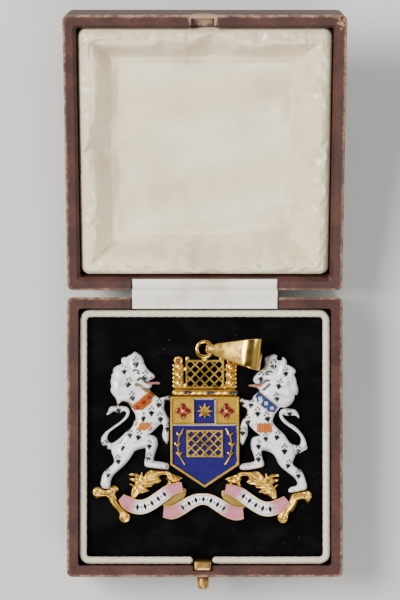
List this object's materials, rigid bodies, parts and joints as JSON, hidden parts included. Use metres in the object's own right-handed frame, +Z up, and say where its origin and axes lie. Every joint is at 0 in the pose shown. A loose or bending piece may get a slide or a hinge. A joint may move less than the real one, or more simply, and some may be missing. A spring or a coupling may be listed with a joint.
{
  "type": "badge of office pendant in a hinged presentation box",
  "caption": "Enamelled gold badge of office with lion supporters, shield, pierced crest, ribbon and bail, lying in a square leather presentation case with a hinged, satin-lined lid.",
  "frame": {"origin": "middle of the case's underside", "axes": "+X to the right and +Y towards the lid as the badge is read, +Z up; the case's front with the push button faces -Y"},
  "size_m": [0.076, 0.1586, 0.0423],
  "materials": {
    "leather": "dark red-brown grained leather, worn pale at the edges",
    "velvet": "black velvet with a little lint",
    "cord": "cream cloth edging cord",
    "satin": "cream satin, softly padded",
    "tape": "off-white woven cloth tape",
    "brass": "polished brass, a little dull",
    "gold": "polished and matted yellow gold",
    "white_enamel": "glossy white enamel with dark spots",
    "blue_enamel": "glossy deep blue enamel",
    "slate_enamel": "glossy slate-blue enamel",
    "orange_enamel": "glossy orange enamel",
    "red_enamel": "glossy dark red enamel"
  },
  "bodies": {
    "case": {"case_base": "leather", "velvet_pad": "velvet", "edging_cord": "cord", "clasp_catch": "brass", "push_button": "brass", "hinge_leaf_case": "brass", "hinge_pin": "brass", "hinge_tape": "tape", "shield_frame": "gold", "field_enamel": "blue_enamel", "panel_enamel": "blue_enamel", "field_lattice": "gold", "leaf_spray_left": "gold", "leaf_spray_right": "gold", "panel_star": "gold", "flower_left": "red_enamel", "flower_right": "red_enamel", "crest": "gold", "crest_wreath": "gold", "bail": "gold", "lion_left": "white_enamel", "collar_left": "orange_enamel", "lion_right": "white_enamel", "collar_right": "slate_enamel", "leaf_left": "gold", "leaf_right": "gold", "bracket_left": "gold", "bracket_right": "gold", "ribbon_scroll": "gold"},
    "lid": {"case_lid": "leather", "satin_pad": "satin", "hinge_leaf_lid": "brass"}
  },
  "joints": [
    {"name": "lid_hinge", "type": "hinge", "parent": "case", "child": "lid", "pos_m": [0, 0.0393, 0.0194], "axis": [1, 0, 0], "range_deg": [0, 162], "deforming": ["hinge_tape"]}
  ]
}
